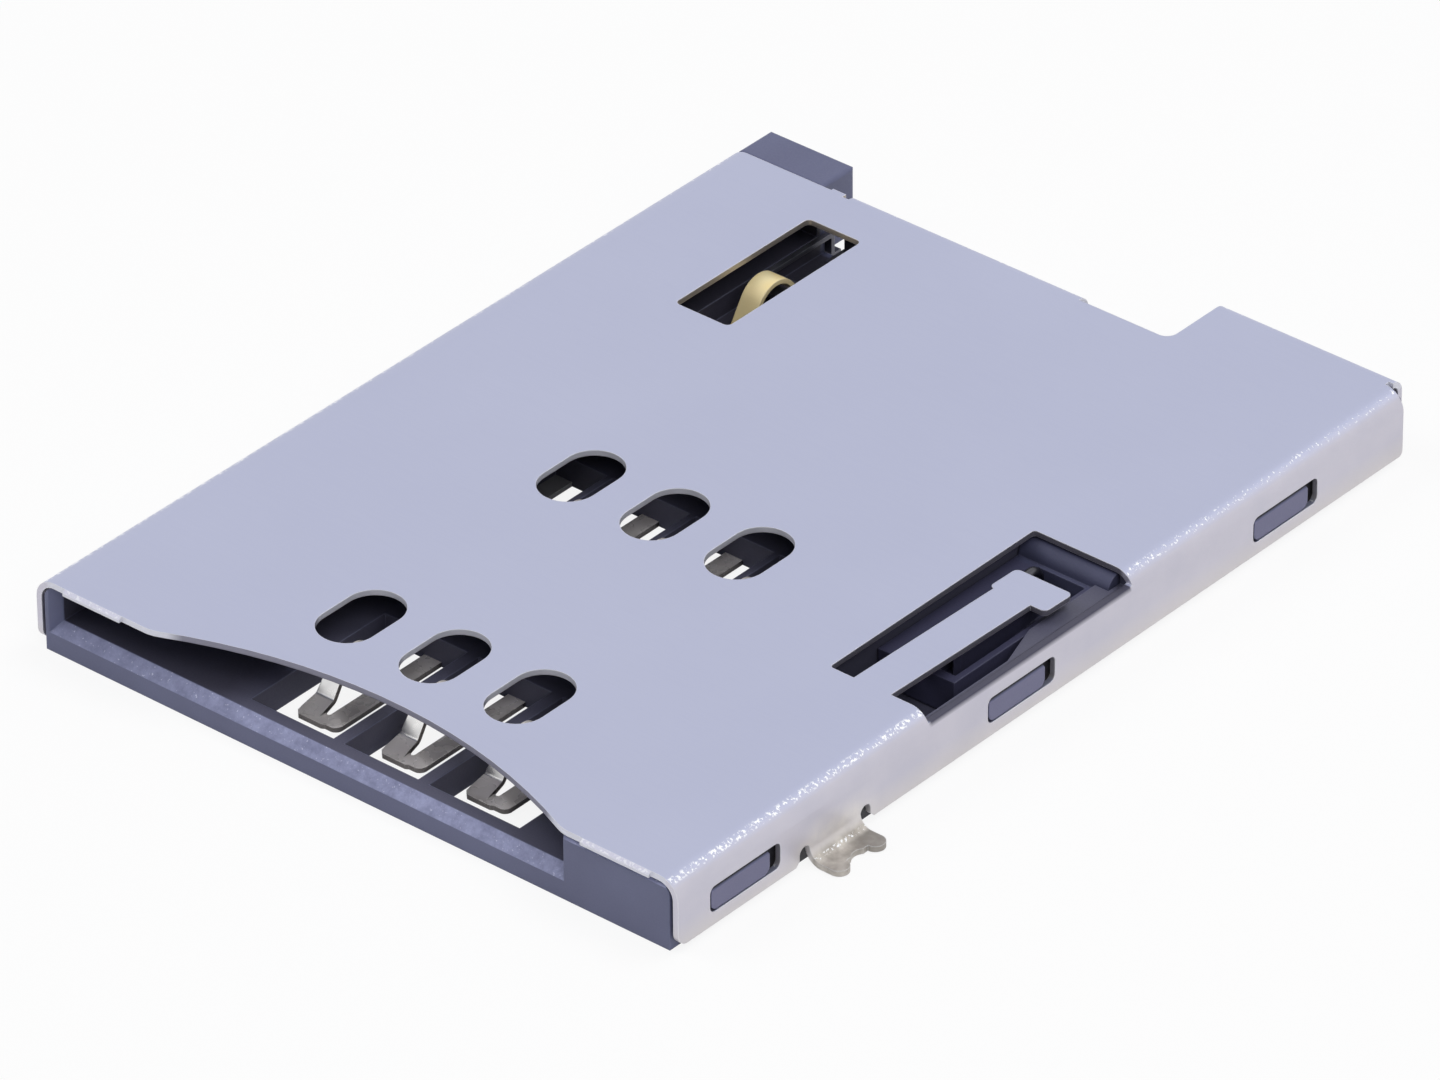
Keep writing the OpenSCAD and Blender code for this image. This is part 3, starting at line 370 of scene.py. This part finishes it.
def moulded_plastic(name, dark, light, painted_light_colour, deep, deep_to, deep_right=None):
    """Moulded engineering plastic, finely eroded, with flow marks, painted highlights on its edges and painted
    light with glints on the sill's chamfer.

    Under the cover, up to Y = deep_to, it is painted darker as shade, in the colour deep, or deep_right away from
    the left wall.
    """
    s = Surface(name)
    rounded = s.soft_edges(0.05)
    x, y, z = s.split(s.place)
    across = s.absolute(x)
    face_y, face_z = s.facing()[1:]
    grain = s.noise(0.05, detail=3.0)
    flow = s.noise(2.5, detail=3.0, vector=s.stretched((1.0, 0.3, 1.0)))
    body = s.blend(s.spread(flow), dark, light)

    # Painted shade under the cover and in the gap at the flanges, and painted light on the latch lugs
    within = s.times(s.past(y, *INSIDE_FRONT_Y), s.past(y, deep_to + 0.1, deep_to))
    inside = s.times(within, s.past(z, *INSIDE_TOP_Z), s.past(across, *INSIDE_X))
    if deep_right:
        deep = s.blend(s.past(x, *LEFT_WALL_X), deep, deep_right)
    body = s.blend(inside, body, deep)
    gap = s.times(s.past(across, *FLANGE_GAP_INNER_X), s.past(across, *FLANGE_GAP_OUTER_X), within)
    body = s.blend(gap, body, colour(38, 37, 44))
    lug = s.times(s.past(across, *LATCH_LUG_X), within)
    body = s.blend(lug, body, colour(114, 114, 144))

    # Painted light on the sill's chamfer, stronger towards the right, with small painted glints, and painted
    # highlights on edges
    sill = s.times(s.ramp(face_y, -0.45, -0.6), s.ramp(face_z, 0.55, 0.7), s.past(y, *SILL_Y))
    specks = s.spread(s.noise(0.4, detail=4.0, roughness=0.75), 0.35, 1.1)
    sill_light_start, sill_light_end = SILL_LIGHT_GROWS_X
    sill_light = s.times(sill, specks, s.ramp(x, sill_light_start * MM, sill_light_end * MM, 0.75, 1.0))
    painted_light_and_highlight = s.most(sill_light, s.times(s.on_edge(rounded, 0.8), 0.3))
    body = s.blend(painted_light_and_highlight, body, painted_light_colour)
    chamfer_glints = s.times(sill, s.ramp(s.noise(0.07, detail=2.0, roughness=0.6), 0.66, 0.7))
    body = s.blend(s.times(chamfer_glints, 0.6), body, colour(214, 216, 236))

    s.set(Base_Color=body,
          Roughness=s.spread(grain, 0.45, 0.6),
          Normal=s.bump(grain, 0.005, rounded, 0.5))
    return s.material


def plated_strip(name, dull, bright, steep, roughness, metallic, shine,
                 root=None, root_y=(0, 0), cut_side=None):
    """Plated spring strip, polished and faintly uneven.

    Steep is the lighter colour painted on its slopes as a highlight, cut_side the darker colour painted on its
    upright cut sides as shade, and root that of the part before root_y. Metallic is one number, or a pair for
    flats and slopes. Shine is how strongly a highlight is painted on its edges.
    """
    s = Surface(name)
    rounded = s.soft_edges(0.03)
    cloud = s.noise(0.6, detail=0.0)
    haze = s.noise(0.3, detail=1.0)
    face_z = s.facing()[2]
    slope = s.ramp(face_z, 0.92, 0.8)
    # Slopes get the lighter colour steep, a painted highlight
    body = s.blend(slope, s.blend(s.spread(cloud), dull, bright), steep)
    # Upright cut sides get the darker colour cut_side, a painted shade
    if cut_side:
        body = s.blend(s.ramp(s.absolute(face_z), 0.25, 0.1), body, cut_side)
    if root:
        y = s.split(s.place)[1]
        body = s.blend(s.past(y, *root_y), root, body)
    # Painted highlight along the edges, as strong as shine
    body = s.blend(s.times(s.on_edge(rounded), shine), body, colour(246, 244, 240))
    if isinstance(metallic, tuple):
        metallic = s.ramp(slope, 0.0, 1.0, *metallic)
    s.set(Base_Color=body,
          Metallic=metallic,
          Roughness=s.spread(haze, roughness, roughness + 0.08),
          Normal=s.bump(cloud, 0.004, rounded, 0.3))
    return s.material


def drawn_wire(name, dull, bright, roughness):
    """Drawn steel wire with fine marks round it."""
    s = Surface(name)
    marks = s.noise(0.03, detail=2.0)
    s.set(Base_Color=s.blend(marks, dull, bright),
          Metallic=1.0,
          Roughness=s.spread(marks, roughness, roughness + 0.1))
    return s.material


def dress_nodes():
    """Gives every CAD node its finish, the contacts the same one, and returns the finishes by node."""
    strip = plated_strip(
        "contact_strip", colour(214, 208, 206), colour(240, 235, 233), colour(240, 239, 238),
        roughness=0.24, metallic=(0.4, 1.0), shine=0.6, cut_side=colour(140, 135, 133))
    finishes = {
        "housing": moulded_plastic(
            "housing_plastic", colour(92, 95, 124), colour(101, 105, 135), colour(156, 160, 194),
            deep=colour(64, 63, 77), deep_to=24.1, deep_right=colour(81, 81, 99)),
        "cover_shell": cover_sheet(),
        "switch_blade": plated_strip(
            "gold_strip", colour(255, 230, 164), colour(255, 240, 192), colour(255, 236, 184),
            roughness=0.3, metallic=(0.15, 0.0), shine=0.3,
            root=colour(120, 120, 124), root_y=(14.5, 17.0)),
        "switch_contact": plated_strip(
            "dull_strip", colour(84, 84, 94), colour(104, 104, 116), colour(94, 94, 105),
            roughness=0.3, metallic=0.5, shine=0.15),
        "cam_slider": moulded_plastic(
            "slider_plastic", colour(64, 66, 90), colour(78, 80, 106), colour(132, 134, 164),
            deep=colour(64, 64, 88), deep_to=15.5),
        "cam_pin": drawn_wire("pin_wire", colour(66, 66, 72), colour(98, 98, 104), 0.3),
        "return_spring": drawn_wire("spring_wire", colour(150, 152, 158), colour(214, 216, 222), 0.28),
    }
    for name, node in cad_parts.items():
        node.data.materials.clear()
        node.data.materials.append(finishes.get(name, strip))
    return finishes


# Return spring, which the CAD makes rigid and the slider squeezes

SPRING_WIRE = 0.16
SPRING_TURNS = 11
SPRING_CLOSED_TURNS = 1
SPRING_STEPS = 28
SPRING_SIDES = 12


def coil_height(turn, length):
    """Height of the wire's middle line along the coil after so many turns; the end turns lie closed."""
    lead = SPRING_CLOSED_TURNS * SPRING_WIRE
    pitch = (length - 2 * lead) / (SPRING_TURNS - 2 * SPRING_CLOSED_TURNS)
    if turn < SPRING_CLOSED_TURNS:
        return turn * SPRING_WIRE
    if turn > SPRING_TURNS - SPRING_CLOSED_TURNS:
        return length - (SPRING_TURNS - turn) * SPRING_WIRE
    return lead + (turn - SPRING_CLOSED_TURNS) * pitch


def coil_points(low, high):
    """Rings of points round the coil's wire, which fills the box from low to high."""
    middle = (low + high) / 2
    half = SPRING_WIRE / 2
    coil_r = (high.x - low.x) / 2 - half
    length = high.y - low.y - SPRING_WIRE
    points = []
    for i in range(SPRING_TURNS * SPRING_STEPS + 1):
        around = 2 * math.pi * i / SPRING_STEPS
        y = low.y + half + coil_height(i / SPRING_STEPS, length)
        for k in range(SPRING_SIDES):
            b = 2 * math.pi * k / SPRING_SIDES
            r = coil_r + half * math.cos(b)
            point = (middle.x + r * math.cos(around), y + half * math.sin(b), middle.z + r * math.sin(around))
            points.append(Vector(point) * MM)
    return points


def coil_faces():
    """The two ends of the wire and the faces between its rings, all facing outwards."""
    count = SPRING_TURNS * SPRING_STEPS
    first_end = tuple(reversed(range(SPRING_SIDES)))
    last_end = tuple(range(count * SPRING_SIDES, (count + 1) * SPRING_SIDES))
    faces = [first_end, last_end]
    for i in range(count):
        for k in range(SPRING_SIDES):
            a = i * SPRING_SIDES + k
            b = i * SPRING_SIDES + (k + 1) % SPRING_SIDES
            faces.append((a, b, b + SPRING_SIDES, a + SPRING_SIDES))
    return faces


def add_spring(material):
    """Coil in the CAD spring's place, with closed end turns, fixed to the socket's body."""
    low, high = (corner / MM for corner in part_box("return_spring"))
    mesh = bpy.data.meshes.new("spring_coil")
    mesh.from_pydata(coil_points(low, high), [], coil_faces())
    for face in mesh.polygons:
        face.use_smooth = len(face.vertices) == 4
    mesh.materials.append(material)
    coil = bpy.data.objects.new("spring_coil", mesh)
    bpy.context.scene.collection.objects.link(coil)
    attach(coil, "socket")
    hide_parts("return_spring")
    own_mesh(coil)


# Floor and light

BESIDE_PART_X = (9.2, 9.4)
AHEAD_OF_PART_Y = (0.1, -0.1)
BEHIND_PART_Y = (24.2, 24.4)


def floor_surface():
    """White where the camera sees it, and where metal mirrors it beside the part; elsewhere it is only lit."""
    s = Surface("floor")
    path = s.nodes.new("ShaderNodeLightPath")
    glow = s.nodes.new("ShaderNodeEmission")
    mix = s.nodes.new("ShaderNodeMixShader")
    x, y = s.split(s.place)[:2]
    beside = s.past(s.absolute(x), *BESIDE_PART_X)
    open_floor = s.most(beside, s.past(y, *AHEAD_OF_PART_Y), s.past(y, *BEHIND_PART_Y))
    mirrored = s.times(path.outputs["Is Glossy Ray"], open_floor)
    seen = s.most(path.outputs["Is Camera Ray"], mirrored)
    s.set(Base_Color=colour(244, 244, 246), Roughness=0.9)
    s.links.new(s.times(seen, FLOOR_GLOW), mix.inputs["Fac"])
    s.links.new(s.shader.outputs["BSDF"], mix.inputs[1])
    s.links.new(glow.outputs["Emission"], mix.inputs[2])
    s.links.new(mix.outputs["Shader"], s.nodes["Material Output"].inputs["Surface"])
    return s.material


def add_floor():
    """Plain white floor on the seating plane, which keeps the object's soft shadow."""
    side = FLOOR_HALF_SIDE * MM
    mesh = bpy.data.meshes.new("floor")
    mesh.from_pydata([(-side, -side, 0), (side, -side, 0), (side, side, 0), (-side, side, 0)], [], [(0, 1, 2, 3)])
    mesh.materials.append(floor_surface())
    floor = bpy.data.objects.new("floor", mesh)
    floor.location.z = FLOOR_LEVEL * MM
    bpy.context.scene.collection.objects.link(floor)


def add_lamp(name, azimuth, elevation, diameter, power, mirrored):
    """Round soft lamp; one that isn't mirrored leaves no highlight on metal."""
    data = bpy.data.lights.new(name, "AREA")
    data.shape = "DISK"
    data.size = diameter * MM
    data.energy = power
    lamp = bpy.data.objects.new(name, data)
    lamp.location = direction(azimuth, elevation) * LAMP_DISTANCE * MM
    lamp.visible_glossy = mirrored
    aim(lamp, Vector(LAMP_AIM) * MM)
    bpy.context.scene.collection.objects.link(lamp)


def add_light():
    """White surroundings for the camera and for reflections, little light from them, and the lamps."""
    world = bpy.data.worlds.new("studio")
    world.use_nodes = True
    nodes = world.node_tree.nodes
    links = world.node_tree.links
    path = nodes.new("ShaderNodeLightPath")
    seen = nodes.new("ShaderNodeMath")
    seen.operation = "MAXIMUM"
    links.new(path.outputs["Is Camera Ray"], seen.inputs[0])
    links.new(path.outputs["Is Glossy Ray"], seen.inputs[1])
    strength = nodes.new("ShaderNodeMapRange")
    strength.inputs["To Min"].default_value = WORLD_LIGHT
    strength.inputs["To Max"].default_value = 1.0
    links.new(seen.outputs["Value"], strength.inputs["Value"])
    links.new(strength.outputs["Result"], nodes["Background"].inputs["Strength"])
    nodes["Background"].inputs["Color"].default_value = (1, 1, 1, 1)
    bpy.context.scene.world = world
    for lamp in LAMPS:
        add_lamp(*lamp)


add_camera()
add_spring(dress_nodes()["return_spring"])
add_floor()
add_light()
bpy.context.scene.view_settings.view_transform = "Standard"
